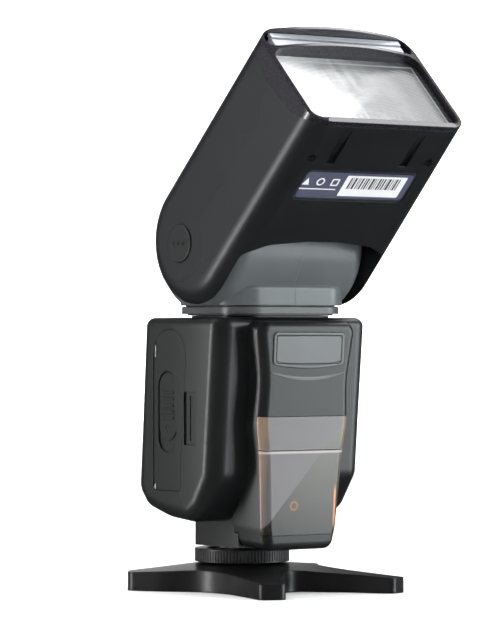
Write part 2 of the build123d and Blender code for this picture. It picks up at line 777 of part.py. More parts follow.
def head_block_solid():
    """Outer form of the head: a tapered bar with a half-round end."""
    end = -HEAD_BACK
    round_end = (HEAD_TOP - HEAD_BOTTOM) / 2 - 0.001
    face = rounded([
        (-HEAD_LENGTH, HEAD_TOP, 0),
        (-HEAD_LENGTH, HEAD_BOTTOM, 0),
        (end, HEAD_BOTTOM, round_end),
        (end, HEAD_TOP, round_end),
    ])
    plan = rounded(mirrored([(HEAD_HALF_FRONT, -HEAD_LENGTH - 1, 0), (HEAD_HALF_BACK, end + 2, 0)]))
    solid = along_x(face, -45, 45) & along_z(plan, -40, 30)
    sides = (solid.faces().sort_by(Axis.X)[0], solid.faces().sort_by(Axis.X)[-1])
    rims = [e for side in sides for e in side.edges() if e.center().Y > 1 - HEAD_LENGTH]
    return fillet(rims, HEAD_CORNER)


def head_zone(points):
    """Full-width prism over an outline given in (u, v)."""
    return along_x(rounded([(-u, v, 0) for u, v in points]), -60, 60)


def head_core(half, v0, v1, corner, u0, u1):
    """Round-cornered bar along the head, drawn as a section in (X, V)."""
    points = [(half, v0, corner), (half, v1, corner), (-half, v1, corner), (-half, v0, corner)]
    return along_y(rounded(points), -u1, -u0)


HEAD = head_block_solid()
HEAD_SLOT = head_zone([(-30, -32), (-30, 21.3), (16.6, 21.3), (23.0, 14.6), (26.6, 5.6), (27.2, -3), (27.4, -32)])
SLOT_ARCH = [(6.0, -27.5, 40.0), (24.0, -25.4, 14.0), (SLOT_HALF, -20.5, 6.0), (SLOT_HALF, 60, 0)]
SLOT_PLAN = [(SLOT_HALF, -28.0, 8.0), (SLOT_HALF, 60, 0)]
HEAD_SLOT &= along_z(rounded(mirrored(SLOT_ARCH)), -60, -15) + along_z(rounded(mirrored(SLOT_PLAN)), -15.01, 60)
FRONT_ZONE = head_zone([(80, 40), (79.5, 17), (77.2, 4.3), (78.8, -14.3), (84, -26), (84.4, -32), (120, -32), (120, 40)])
FRONT_ZONE += head_core(35.0, -25.8, 22.2, 7.0, 78.6, 120)
UPPER_ZONE = head_zone([(-30, SEAM_V), (63.5, SEAM_V), (69.5, 2.3), (90, 2.3), (90, 40), (-30, 40)])
UPPER_ZONE += rod(14.2, (-60, 0, 0), (60, 0, 0))


def head_shell():
    """Hollow head behind the bezel, with ears on both sides of the neck slot."""
    shell = HEAD - FRONT_ZONE - HEAD_SLOT
    shell -= head_core(34.4, -25.2, 21.5, 6.2, 31.0, 95)
    for x in (-34.7, 34.7):
        shell -= rod(AXLE_RADIUS + RUN_GAP, (0, 0, 0), (x, 0, 0))
    shell -= rod(7.28, (-45, 0, 0), (-34.9, 0, 0))
    shell -= rod(7.2, (36.3, 0, 0), (45, 0, 0))
    for x in GUIDE_X:
        shell -= rod(1.0, (x, -28.5, GUIDE_V), (x, -35, GUIDE_V))
    return shell


def head_lower():
    """Lower shell with the label recess, screw wells and two ramped pockets."""
    shell = head_shell() - UPPER_ZONE
    shell -= along_z(label_outline(0), HEAD_BOTTOM - 1, HEAD_BOTTOM + 0.5)
    for x in HEAD_SCREW_X:
        shell -= rod(1.9, (x, -HEAD_SCREW_U, -30), (x, -HEAD_SCREW_U, HEAD_BOTTOM + 1.2))
        shell -= rod(0.9, (x, -HEAD_SCREW_U, -30), (x, -HEAD_SCREW_U, -20))
    for x in (-18.8, 15.6):
        ramp = head_zone([(66.0, -28), (66.0, -25.5), (69.0, -25.5), (82.5, HEAD_BOTTOM), (82.5, -28)])
        shell -= ramp & block(x - 2, x + 2, -100, 0, -40, 0)
    return shell


def label_outline(inset):
    """Rating label field on the underside of the head."""
    points = [(25.4, -63.0), (25.4, -48.2), (-26.8, -48.2), (-26.8, -63.0)]
    return shrunk(rounded([(x, y, 2.5) for x, y in points]), inset)


GUIDE_X = (-29.6, 29.6)
GUIDE_V = -22.6
SCREW_X = 24.0
SCREW_V = -19.5
HEAD_SCREW_X = (-28.2, 26.6)
HEAD_SCREW_U = 68.5
PIVOT_DIMPLES = ((-2.2, -2.2), (0, 0), (2.2, 2.2))


def release_button():
    """Round tilt-lock button with three dimples."""
    button = rod(7.2, (-38.3, 0, 0), (-36.5, 0, 0))
    for y, z in PIVOT_DIMPLES:
        button -= rod(0.7, (-39, y, z), (-38.0, y, z))
    return fillet(button.edges().group_by(Axis.X)[0].filter_by(lambda e: e.length > 20), 0.4)


save("head_upper", in_head(head_shell() & UPPER_ZONE))
save("head_lower", in_head(head_lower()))
save("rating_label", in_head(along_z(label_outline(0.35), HEAD_BOTTOM + 0.1, HEAD_BOTTOM + 0.5)))
head_screws = [screw(1.8, 0.9, (x, -HEAD_SCREW_U, HEAD_BOTTOM + 0.1), (0, 0, 1), 1.1, 2.75) for x in HEAD_SCREW_X]
save("head_screws", *[in_head(item) for item in head_screws])
save("release_button", in_head(release_button()))
save("pivot_cap", in_head(fillet(rod(7.15, (36.35, 0, 0), (38.1, 0, 0)).edges().group_by(Axis.X)[-1], 0.4)))


# ---------------------------------------------------------------- head front

def front_form():
    """Curved, slightly leaning front of the bezel."""
    lean = head_zone([(60, 40), (89.2, 40), (88.8, 0), (87.8, -14), (86.2, -27), (86.0, -40), (60, -40)])
    arc = ThreePointArc((-37, -84.8), (0, -89.0), (37, -84.8))
    plan = make_face(arc + Polyline([(37, -84.8), (37, 0), (-37, 0), (-37, -84.8)]))
    return lean & along_z(plan, -40, 30)


def bezel():
    """Glossy front frame with a seat for the lens and a pocket for the panels."""
    frame = HEAD & FRONT_ZONE & front_form()
    frame -= head_core(31.0, -21.5, 9.5, 3.0, 70, 100)
    frame -= head_core(34.2, -24.9, 12.6, 5.0, LENS_BACK - 0.05, 100)
    frame -= head_block(-30.7, 30.7, 70, 100, 18.0, 20.7)
    frame -= head_core(34.2, 14.0, 21.9, 3.6, 82.8, 100)
    frame += panel_tray()
    for x in GUIDE_X:
        frame -= rod(1.0, (x, -70, GUIDE_V), (x, -81.5, GUIDE_V))
    return frame


LENS_BACK = 80.7
LENS_FRONT = 82.6


def fresnel_lens():
    """Clear front lens, set into the bezel."""
    return head_core(34.1, -24.8, 12.5, 4.9, LENS_BACK, LENS_FRONT)


def panel_tray():
    """Guide under the roof of the head for the two pull-out panels."""
    tray = head_block(-32.0, 32.0, 45, 79.0, 17.1, 18.0)
    tray += head_block(-32.0, -31.0, 45, 79.0, 18.0, 19.0)
    return tray + head_block(31.0, 32.0, 45, 79.0, 18.0, 19.0)


def pull_panel(v0, v1, lip0, lip1, front):
    """Flat pull-out panel with a finger lip at its front edge."""
    panel = head_block(-30.4, 30.4, 47, front, v0, v1)
    return panel + head_block(-30.4, 30.4, front - 1.6, front, lip0, lip1)


def reflector():
    """Folded aluminium trough with two end plates."""
    outline = [(62, 7), (52, 4.4), (47.2, -1.5), (47.2, -8.5), (52, -14.4), (62, -17)]
    inner = [(63, 6.3), (52.4, 3.7), (48.0, -1.8), (48.0, -8.2), (52.4, -13.7), (63, -16.3)]
    shell = head_zone(outline) - head_zone(inner)
    shell = shell & block(-26, 26, -80, 0, -40, 40)
    for x0, x1 in ((-26.8, -26.0), (26.0, 26.8)):
        shell += head_zone(outline) & block(x0, x1, -80, 0, -40, 40)
    return shell - rod(1.0, (-30, -51.5, -5), (30, -51.5, -5))


def flash_tube():
    """Glass tube with an electrode at each end."""
    return rod(1.8, (-25.9, -51.5, -5), (25.9, -51.5, -5)) + rod(0.95, (-28.6, -51.5, -5), (28.6, -51.5, -5))


def zoom_carriage():
    """Carriage that carries the reflector on two rods and a nut."""
    base = head_block(-31.4, 31.4, 46, 61, -23.8, -17.1)
    base += head_block(-25, 25, 44.5, 47.1, -23.8, 5.0)
    for x in GUIDE_X:
        base -= rod(1.0 + RUN_GAP, (x, -40, GUIDE_V), (x, -65, GUIDE_V))
    return base - rod(1.5 + RUN_GAP, (SCREW_X, -40, SCREW_V), (SCREW_X, -65, SCREW_V))


def lead_screw():
    """Fine screw that drives the carriage."""
    return rod(1.5, (SCREW_X, -42.4, SCREW_V), (SCREW_X, -78.0, SCREW_V)) + rod(
        0.8, (SCREW_X, -38.0, SCREW_V), (SCREW_X, -42.4, SCREW_V))


def zoom_motor():
    """Small stepping motor on a flange."""
    body = rod(4.4, (SCREW_X, -31.5, SCREW_V), (SCREW_X, -41.0, SCREW_V))
    body += block(SCREW_X - 4.4, SCREW_X + 4.4, -42.0, -41.0, SCREW_V - 5.5, SCREW_V + 4.4)
    return body - rod(0.8 + RUN_GAP, (SCREW_X, -37.9, SCREW_V), (SCREW_X, -43, SCREW_V))


save("front_bezel", in_head(bezel()))
save("fresnel_lens", in_head(fresnel_lens()))
save("wide_panel", in_head(pull_panel(19.3, 20.4, 19.3, 21.7, 85.6)))
save("bounce_card", in_head(pull_panel(18.3, 18.9, 15.6, 18.9, 85.0)))
save("reflector", in_head(reflector()))
save("flash_tube", in_head(flash_tube()))
save("zoom_carriage", in_head(zoom_carriage()))
save("guide_rods", *[in_head(rod(1.0, (x, -29.0, GUIDE_V), (x, -80.2, GUIDE_V))) for x in GUIDE_X])
save("lead_screw", in_head(lead_screw()))
save("zoom_motor", in_head(zoom_motor()))
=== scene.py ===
import bmesh
import bpy
import json
import math
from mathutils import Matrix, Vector


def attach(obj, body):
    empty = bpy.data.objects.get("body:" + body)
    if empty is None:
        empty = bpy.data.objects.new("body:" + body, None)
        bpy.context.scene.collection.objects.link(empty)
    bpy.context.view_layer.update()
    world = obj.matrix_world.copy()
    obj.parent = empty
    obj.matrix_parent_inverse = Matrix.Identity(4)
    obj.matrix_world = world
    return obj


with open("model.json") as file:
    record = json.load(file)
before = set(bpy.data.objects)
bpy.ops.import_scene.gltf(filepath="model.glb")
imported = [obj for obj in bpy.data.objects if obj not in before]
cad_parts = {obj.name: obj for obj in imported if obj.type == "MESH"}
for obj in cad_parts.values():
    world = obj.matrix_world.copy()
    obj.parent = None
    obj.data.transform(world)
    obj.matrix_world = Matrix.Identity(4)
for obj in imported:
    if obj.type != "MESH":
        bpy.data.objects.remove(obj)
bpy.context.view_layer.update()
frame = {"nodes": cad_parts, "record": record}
nodes = frame["nodes"]

MM_PER_METRE = 1000.0

# The head's own frame: u runs forward along the head, v across it towards its roof.
TILT = math.radians(45.0)
PIVOT = Vector((0.0, -0.0115, 0.1306))
ALONG = Vector((0.0, -math.cos(TILT), math.sin(TILT)))
UPWARD = Vector((0.0, math.sin(TILT), math.cos(TILT)))

# The nose's front leans forward by this much per unit of height.
NOSE_SLOPE = 0.064

# Places on the infrared window in millimetres: heights above the table, and distances from its middle.
WINDOW_FADE = (22.0, 62.0)
# The pale diagonal sweep above this slanted edge is a painted reflection.
PAINTED_REFLECTION_EDGE = (43.2, 43.9)
PAINTED_REFLECTION_SLOPE = 1.1
WARM_EDGE = (16.6, 19.0)
RING_X, RING_Z, RING_RADIUS = -4.1, 32.7, 1.5
STRIP_X, STRIP_Z, STRIP_HALF = 15.2, 32.0, 7.0
SEAM_Z = 53.0
RING_COLOUR = (0.42, 0.12, 0.03)
STRIP_COLOUR = (0.62, 0.24, 0.08)
# The seam's light colour is a painted highlight on the edges of the seam between the two windows.
SEAM_HIGHLIGHT_COLOUR = (0.5, 0.46, 0.44)

# Places on the flash lens in millimetres, across the head and along v.
LENS_HALF_WIDTH = 31.6
LENS_HALF_HEIGHT = 16.2
LENS_MIDDLE = -6.2
PRISM_CENTRE = -34.0
PRISM_FLATTENING = 1.3
PRISM_RATE = 2.6
RIB_RATE = 7.0
# Lens colours: the pale cloud and streaks are a painted reflection of the reflector behind the lens, the
# shadow colour is painted shade on its right side, and the bright colour is a painted highlight on its left
# side.
LENS_DEEP = (0.15, 0.16, 0.17)
LENS_PAINTED_REFLECTION = (0.50, 0.50, 0.51)
LENS_PAINTED_STREAK = (0.62, 0.62, 0.63)
LENS_SHADOW = (0.03, 0.035, 0.038)
LENS_PAINTED_HIGHLIGHT = (0.80, 0.80, 0.80)
LENS_FRAME = (0.72, 0.74, 0.75)
LENS_GROOVE = (0.2, 0.21, 0.22)


# ---------------------------------------------------------------- node helpers

def new_object(name, data):
    """Object linked into the scene."""
    holder = bpy.data.objects.new(name, data)
    bpy.context.scene.collection.objects.link(holder)
    return holder


def new_material(name):
    """Node material with its tree and its Principled shader."""
    material = bpy.data.materials.new(name)
    material.use_nodes = True
    shader = material.node_tree.nodes["Principled BSDF"]
    return material, material.node_tree, shader


def add_node(tree, kind, inputs=None, **settings):
    """Add a node; attribute settings by name, input values through `inputs`."""
    node = tree.nodes.new(kind)
    for key, value in settings.items():
        setattr(node, key, value)
    for key, value in (inputs or {}).items():
        node.inputs[key].default_value = value
    return node


def object_coordinates(tree, stretch=(1, 1, 1)):
    """Coordinates in metres that stay with the piece, each scaled if asked."""
    source = add_node(tree, "ShaderNodeTexCoord")
    mapping = add_node(tree, "ShaderNodeMapping", inputs={"Scale": stretch})
    tree.links.new(source.outputs["Object"], mapping.inputs["Vector"])
    return mapping.outputs["Vector"]


def noise(tree, vector, scale, detail=2.0, rough=0.5):
    """Noise pattern between 0 and 1."""
    values = {"Scale": scale, "Detail": detail, "Roughness": rough}
    node = add_node(tree, "ShaderNodeTexNoise", inputs=values)
    tree.links.new(vector, node.inputs["Vector"])
    return node.outputs["Fac"]


def spread(tree, value, low, high, start=0.3, end=0.7):
    """Map the part of a pattern from start to end onto the range from low to high."""
    values = {"From Min": start, "From Max": end, "To Min": low, "To Max": high}
    node = add_node(tree, "ShaderNodeMapRange", inputs=values)
    tree.links.new(value, node.inputs["Value"])
    return node.outputs["Result"]


def mixed(tree, factor, first, second):
    """Colour blended between two colours or sockets by a factor socket."""
    node = add_node(tree, "ShaderNodeMix", data_type="RGBA")
    tree.links.new(factor, node.inputs["Factor"])
    # Inputs 6 and 7 and output 2 are the mix node's colour sockets.
    for index, colour in ((6, first), (7, second)):
        if isinstance(colour, bpy.types.NodeSocket):
            tree.links.new(colour, node.inputs[index])
        else:
            node.inputs[index].default_value = (*colour, 1.0)
    return node.outputs[2]


def bump(tree, height, strength, distance, before=None):
    """Bump normal from a height pattern, on top of an earlier normal."""
    node = add_node(tree, "ShaderNodeBump", inputs={"Strength": strength, "Distance": distance})
    tree.links.new(height, node.inputs["Height"])
    if before is not None:
        tree.links.new(before, node.inputs["Normal"])
    return node.outputs["Normal"]


def shaded(colour, factor):
    """A colour made lighter or darker."""
    return tuple(min(1.0, channel * factor) for channel in colour)


def calc(tree, operation, first, second=0.0):
    """Math node; either input may be a socket or a number."""
    node = add_node(tree, "ShaderNodeMath", operation=operation)
    for index, value in enumerate((first, second)):
        if isinstance(value, bpy.types.NodeSocket):
            tree.links.new(value, node.inputs[index])
        else:
            node.inputs[index].default_value = value
    return node.outputs["Value"]


def hypotenuse(tree, first, second):
    """Length of the diagonal over two distances."""
    squares = [calc(tree, "POWER", distance, 2.0) for distance in (first, second)]
    return calc(tree, "SQRT", calc(tree, "ADD", *squares))


def along_axis(tree, direction, origin=(0, 0, 0)):
    """Distance of the shaded point from an origin along a direction, in millimetres."""
    shift = add_node(tree, "ShaderNodeVectorMath", operation="SUBTRACT")
    tree.links.new(object_coordinates(tree), shift.inputs[0])
    shift.inputs[1].default_value = origin
    dot = add_node(tree, "ShaderNodeVectorMath", operation="DOT_PRODUCT")
    tree.links.new(shift.outputs["Vector"], dot.inputs[0])
    dot.inputs[1].default_value = tuple(MM_PER_METRE * part for part in direction)
    return dot.outputs["Value"]


def band(tree, value, middle, half, soft):
    """1 inside a band round a middle value, fading to 0 over a soft border."""
    distance = calc(tree, "ABSOLUTE", calc(tree, "SUBTRACT", value, middle))
    return spread(tree, distance, 1.0, 0.0, half - soft, half + soft)


def soft_normal(tree, radius):
    """Normal with the sharp edges rounded off."""
    rounded = add_node(tree, "ShaderNodeBevel", inputs={"Radius": radius}, samples=4)
    return rounded.outputs["Normal"]


def edge_mask(tree, rounded):
    """1 where a rounded normal has left the face's own normal, 0 on the flats."""
    geometry = add_node(tree, "ShaderNodeNewGeometry")
    dot = add_node(tree, "ShaderNodeVectorMath", operation="DOT_PRODUCT")
    tree.links.new(rounded, dot.inputs[0])
    tree.links.new(geometry.outputs["Normal"], dot.inputs[1])
    return spread(tree, dot.outputs["Value"], 1.0, 0.0, start=0.86, end=0.985)


# ---------------------------------------------------------------- materials

def plastic(name, colour, rough, grain=0.35, grain_size=0.00045, coat=0.0, edge=0.00035, crown=0.0):
    """Moulded plastic: spark-eroded grain, uneven sheen, softened and lightly rubbed edges.

    A crown shades the faces as if they fell away very slightly towards the front.
    """
    material, tree, shader = new_material(name)
    place = object_coordinates(tree)
    blotches = noise(tree, place, scale=45.0, detail=3.0)
    fine = noise(tree, place, scale=1.0 / grain_size, rough=0.6)
    coarse = noise(tree, place, scale=0.35 / grain_size, detail=1.0)
    normal = soft_normal(tree, edge)
    rubbed = calc(tree, "MULTIPLY", edge_mask(tree, normal), spread(tree, blotches, 0.25, 1.0))
    body = mixed(tree, spread(tree, blotches, 0, 1), shaded(colour, 0.9), shaded(colour, 1.12))
    body = mixed(tree, rubbed, body, shaded(colour, 1.5))
    tree.links.new(body, shader.inputs["Base Color"])
    tree.links.new(spread(tree, fine, rough - 0.05, rough + 0.06), shader.inputs["Roughness"])
    if crown:
        metres = calc(tree, "MULTIPLY", along_axis(tree, (0, -1, 0)), 1.0 / MM_PER_METRE)
        forward = calc(tree, "MAXIMUM", metres, 0.0)
        fall = calc(tree, "POWER", forward, 2.0)
        normal = bump(tree, fall, strength=1.0, distance=-crown, before=normal)
    normal = bump(tree, fine, strength=grain, distance=0.00003, before=normal)
    normal = bump(tree, coarse, strength=grain * 0.6, distance=0.00004, before=normal)
    tree.links.new(normal, shader.inputs["Normal"])
    shader.inputs["Coat Weight"].default_value = coat
    shader.inputs["Coat Roughness"].default_value = 0.12
    return material


def metal(name, colour, rough):
    """Metal with fine scratches and slight tarnish."""
    material, tree, shader = new_material(name)
    place = object_coordinates(tree)
    scratches = noise(tree, place, scale=2600.0, detail=3.0)
    cloud = noise(tree, place, scale=90.0, detail=4.0)
    normal = soft_normal(tree, 0.0002)
    tarnished = mixed(tree, spread(tree, cloud, 0, 1), shaded(colour, 0.8), colour)
    body = mixed(tree, edge_mask(tree, normal), tarnished, shaded(colour, 1.2))
    tree.links.new(body, shader.inputs["Base Color"])
    tree.links.new(spread(tree, scratches, rough - 0.08, rough + 0.12), shader.inputs["Roughness"])
    normal = bump(tree, scratches, strength=0.15, distance=0.00002, before=normal)
    tree.links.new(normal, shader.inputs["Normal"])
    shader.inputs["Metallic"].default_value = 1.0
    return material


def window_marks(tree, body, across, height, warm, painted_reflection):
    """Painted reflection as a pale diagonal sweep, warm sides, the small ring and strip seen in the window,
    and light seam lines that are a painted highlight.
    """
    # A pale diagonal sweep painted on as a reflection.
    slanted = calc(tree, "SUBTRACT", height, calc(tree, "MULTIPLY", across, PAINTED_REFLECTION_SLOPE))
    body = mixed(tree, spread(tree, slanted, 0.0, 1.0, *PAINTED_REFLECTION_EDGE), body, painted_reflection)
    sides = spread(tree, calc(tree, "ABSOLUTE", across), 0.0, 0.7, *WARM_EDGE)
    body = mixed(tree, sides, body, warm)
    beside_ring = calc(tree, "SUBTRACT", across, RING_X)
    above_ring = calc(tree, "SUBTRACT", height, RING_Z)
    from_ring = hypotenuse(tree, beside_ring, above_ring)
    ring = band(tree, from_ring, RING_RADIUS, half=0.35, soft=0.25)
    body = mixed(tree, calc(tree, "MULTIPLY", ring, 0.6), body, RING_COLOUR)
    strip_width = band(tree, across, STRIP_X, half=0.45, soft=0.3)
    strip_height = band(tree, height, STRIP_Z, half=STRIP_HALF, soft=1.5)
    body = mixed(tree, calc(tree, "MULTIPLY", strip_width, strip_height), body, STRIP_COLOUR)
    # The light line along the seam is a painted highlight.
    seam_highlight = band(tree, height, SEAM_Z, half=0.75, soft=0.25)
    return mixed(tree, calc(tree, "MULTIPLY", seam_highlight, 0.55), body, SEAM_HIGHLIGHT_COLOUR)


def smoked_window(name, low, high, warm=None, painted_reflection=None):
    """Smoke-tinted polished window: deep below, paler above, with marks and a painted reflection if a painted
    reflection colour is given.
    """
    material, tree, shader = new_material(name)
    place = object_coordinates(tree)
    across = along_axis(tree, (1, 0, 0))
    height = along_axis(tree, (0, 0, 1))
    haze = spread(tree, noise(tree, place, scale=22.0, detail=3.0), 0.0, 0.15)
    depth = calc(tree, "ADD", spread(tree, height, 0.0, 0.85, *WINDOW_FADE), haze)
    body = mixed(tree, depth, low, high)
    if painted_reflection:
        body = window_marks(tree, body, across, height, warm, painted_reflection)
    tree.links.new(body, shader.inputs["Base Color"])
    sheen = noise(tree, place, scale=700.0)
    tree.links.new(spread(tree, sheen, 0.16, 0.2), shader.inputs["Roughness"])
    ripple = noise(tree, place, scale=900.0)
    normal = bump(tree, ripple, strength=0.02, distance=0.00002, before=soft_normal(tree, 0.0005))
    tree.links.new(normal, shader.inputs["Normal"])
    shader.inputs["Specular IOR Level"].default_value = 0.22
    shader.inputs["Coat Weight"].default_value = 0.15
    shader.inputs["Coat Roughness"].default_value = 0.03
    return material


def fresnel_sheet(name):
    """Acrylic sheet with fine prism lines; the bright reflector behind it is painted as a pale cloud and
    streaks, with painted shade on its right side and a painted highlight on its left.
    """
    material, tree, shader = new_material(name)
    across = along_axis(tree, (1, 0, 0))
    upward = along_axis(tree, UPWARD, PIVOT)
    cloud = noise(tree, object_coordinates(tree, (1.0, 1.6, 1.6)), scale=42.0, detail=5.0, rough=0.62)
    painted_streak = noise(tree, object_coordinates(tree, (4.0, 0.5, 0.5)), scale=60.0, detail=3.0)
    rise = calc(tree, "MULTIPLY", calc(tree, "SUBTRACT", upward, PRISM_CENTRE), PRISM_FLATTENING)
    prism = calc(tree, "SINE", calc(tree, "MULTIPLY", hypotenuse(tree, across, rise), PRISM_RATE))
    ribs = calc(tree, "SINE", calc(tree, "MULTIPLY", across, RIB_RATE))
    # Pale cloud and streaks are a painted reflection; the darker right side is painted shade and the lighter
    # left side a painted highlight.
    lens_colour_and_painted_light = mixed(tree, spread(tree, cloud, 0, 1, start=0.38, end=0.62), LENS_DEEP, LENS_PAINTED_REFLECTION)
    lens_colour_and_painted_light = mixed(tree, spread(tree, painted_streak, 0.0, 0.5, start=0.5, end=0.7), lens_colour_and_painted_light, LENS_PAINTED_STREAK)
    lens_colour_and_painted_light = mixed(tree, spread(tree, across, 0.0, 0.95, start=-8.0, end=22.0), lens_colour_and_painted_light, LENS_SHADOW)
    lens_colour_and_painted_light = mixed(tree, spread(tree, across, 0.85, 0.0, start=-30.0, end=-4.0), lens_colour_and_painted_light, LENS_PAINTED_HIGHLIGHT)
    sides = calc(tree, "SUBTRACT", calc(tree, "ABSOLUTE", across), LENS_HALF_WIDTH)
    from_middle = calc(tree, "ABSOLUTE", calc(tree, "SUBTRACT", upward, LENS_MIDDLE))
    ends = calc(tree, "SUBTRACT", from_middle, LENS_HALF_HEIGHT)
    frame_line = band(tree, calc(tree, "MAXIMUM", sides, ends), 0.0, half=0.35, soft=0.2)
    lens_colour_and_painted_light = mixed(tree, calc(tree, "MULTIPLY", frame_line, 0.5), lens_colour_and_painted_light, LENS_FRAME)
    lens_colour_and_painted_light = mixed(tree, spread(tree, prism, 0.0, 0.16, start=0.2, end=1.0), lens_colour_and_painted_light, LENS_GROOVE)
    tree.links.new(lens_colour_and_painted_light, shader.inputs["Base Color"])
    tree.links.new(spread(tree, cloud, 0.1, 0.24), shader.inputs["Roughness"])
    normal = bump(tree, ribs, strength=0.25, distance=0.00006)
    normal = bump(tree, prism, strength=0.2, distance=0.00006, before=normal)
    tree.links.new(normal, shader.inputs["Normal"])
    shader.inputs["Transmission Weight"].default_value = 0.12
    shader.inputs["IOR"].default_value = 1.49
    return material


def clear_plastic(name, tint):
    """Clear moulded sheet with faint flow lines."""
    material, tree, shader = new_material(name)
    place = object_coordinates(tree)
    cloud = noise(tree, place, scale=70.0, detail=4.0, rough=0.6)
    body = mixed(tree, spread(tree, cloud, 0, 1), shaded(tint, 0.85), tint)
    tree.links.new(body, shader.inputs["Base Color"])
    tree.links.new(spread(tree, cloud, 0.1, 0.2), shader.inputs["Roughness"])
    ripple = noise(tree, place, scale=900.0)
    normal = bump(tree, ripple, strength=0.06, distance=0.00003, before=soft_normal(tree, 0.0003))
    tree.links.new(normal, shader.inputs["Normal"])
    shader.inputs["Transmission Weight"].default_value = 0.35
    shader.inputs["IOR"].default_value = 1.49
    return material


def printed(name, colour, rough):
    """Printed film or card with a faint paper tooth."""
    material, tree, shader = new_material(name)
    place = object_coordinates(tree)
    tooth = noise(tree, place, scale=1500.0)
    cloud = noise(tree, place, scale=60.0)
    body = mixed(tree, spread(tree, cloud, 0, 1), shaded(colour, 0.93), colour)
    tree.links.new(body, shader.inputs["Base Color"])
    tree.links.new(spread(tree, tooth, rough - 0.05, rough + 0.05), shader.inputs["Roughness"])
    tree.links.new(bump(tree, tooth, strength=0.08, distance=0.00002), shader.inputs["Normal"])
    return material


MATERIALS = {
    "stand_plastic": plastic("StandPlastic", (0.008, 0.008, 0.0088), 0.34, grain=0.6, grain_size=0.0006,
                             edge=0.0012),
    "ring_plastic": plastic("RingPlastic", (0.014, 0.014, 0.015), 0.38, grain=0.2),
    "case_plastic": plastic("CasePlastic", (0.0085, 0.0093, 0.0097), 0.35, crown=2.4),
    "head_plastic": plastic("HeadPlastic", (0.0065, 0.0076, 0.0095), 0.35),
    "lower_shell": plastic("HeadLowerPlastic", (0.0075, 0.0088, 0.0104), 0.35),
    "neck_plastic": plastic("NeckPlastic", (0.080, 0.090, 0.094), 0.34, grain=0.2),
    "collar_plastic": plastic("CollarPlastic", (0.07, 0.073, 0.075), 0.34, grain=0.2),
    "latch_plastic": plastic("LatchPlastic", (0.009, 0.0098, 0.0104), 0.35),
    "inner_black": plastic("InnerBlack", (0.010, 0.010, 0.011), 0.5),
    "plate_grey": plastic("PlateGrey", (0.088, 0.094, 0.096), 0.33, grain=0.12),
    "bezel_gloss": plastic("BezelGloss", (0.010, 0.009, 0.014), 0.24, grain=0.05, coat=0.5),
    "key_rubber": plastic("KeyRubber", (0.035, 0.035, 0.038), 0.6),
    "port_rubber": plastic("PortRubber", (0.018, 0.018, 0.018), 0.6),
    "cell_wrap": plastic("CellWrap", (0.05, 0.12, 0.25), 0.3, grain=0.1),
    "capacitor_sleeve": plastic("CapacitorSleeve", (0.02, 0.02, 0.035), 0.3, grain=0.1),
    "board_green": plastic("BoardGreen", (0.015, 0.09, 0.045), 0.35, grain=0.2),
    "sensor_dark": plastic("SensorDark", (0.03, 0.008, 0.015), 0.12, grain=0.02),
    "lamp_red": plastic("LampRed", (0.5, 0.12, 0.04), 0.15, grain=0.02),
    "display_grey": plastic("DisplayGrey", (0.20, 0.24, 0.20), 0.25, grain=0.03),
    "foot_metal": metal("FootMetal", (0.16, 0.16, 0.165), 0.38),
    "steel": metal("Steel", (0.55, 0.55, 0.56), 0.28),
    "black_screw": metal("BlackScrew", (0.06, 0.06, 0.065), 0.35),
    "brass": metal("Brass", (0.66, 0.46, 0.2), 0.3),
    "gold_contacts": metal("GoldContacts", (0.83, 0.6, 0.26), 0.22),
    "nickel": metal("Nickel", (0.66, 0.65, 0.62), 0.25),
    "motor_can": metal("MotorCan", (0.5, 0.5, 0.5), 0.3),
    "reflector_metal": metal("ReflectorMetal", (0.9, 0.9, 0.91), 0.14),
    # The smoked window's pale sweep colour is a painted reflection.
    "smoked_window": smoked_window("SmokedWindow", (0.008, 0.006, 0.005), (0.135, 0.131, 0.112),
                                   warm=(0.24, 0.16, 0.10), painted_reflection=(0.112, 0.103, 0.107)),
    "display_glass": smoked_window("DisplayGlass", (0.015, 0.015, 0.017), (0.03, 0.03, 0.034)),
    "clear_lens": fresnel_sheet("ClearLens"),
    "wide_clear": clear_plastic("WideClear", (0.62, 0.64, 0.70)),
    "white_card": printed("WhiteCard", (0.55, 0.55, 0.62), 0.4),
    "label_film": printed("LabelFilm", (0.06, 0.066, 0.105), 0.35),
    "label_white": printed("LabelWhite", (0.62, 0.62, 0.64), 0.4),
    "print_black": printed("PrintBlack", (0.015, 0.015, 0.018), 0.4),
}


def dress(piece, finish):
    """Give a piece one of the materials above."""
    piece.data.materials.clear()
    piece.data.materials.append(MATERIALS[finish])


for entry in frame["record"]["subparts"]:
    dress(nodes[entry["node"]], entry["material_slot"])
# These two differ in tint from the other pieces of their slot.
dress(nodes["head_lower"], "lower_shell")
dress(nodes["wide_panel"], "wide_clear")


# ---------------------------------------------------------------- added surface detail

def reach(node, direction):
    """Farthest extent of a CAD node along a direction, in metres."""
    return max(vertex.co.dot(direction) for vertex in nodes[node].data.vertices)


LABEL_DEPTH = reach("rating_label", -UPWARD) + PIVOT.dot(UPWARD)
PLATE_FRONT = -reach("name_plate", Vector((0, -1, 0)))
PLATE_TOP = reach("name_plate", Vector((0, 0, 1)))

# How far the prints stand out, in millimetres.
PRINT_TOP = 0.04
HOLE_TOP = 0.05
INK_TOP = 0.06
LINE_TOP = 0.03

# The bars on the label's white field, in millimetres. They encode nothing.
BARS_START, BARS_END = -4.4, 19.2
BAR_FOOT, BAR_HEAD = 54.2, 59.6
BAR_WIDTHS = (0.7, 0.3, 1.0, 0.4, 0.3, 0.8, 0.5)
BAR_GAP = 0.42
BAR_GAP_STEP = 0.15

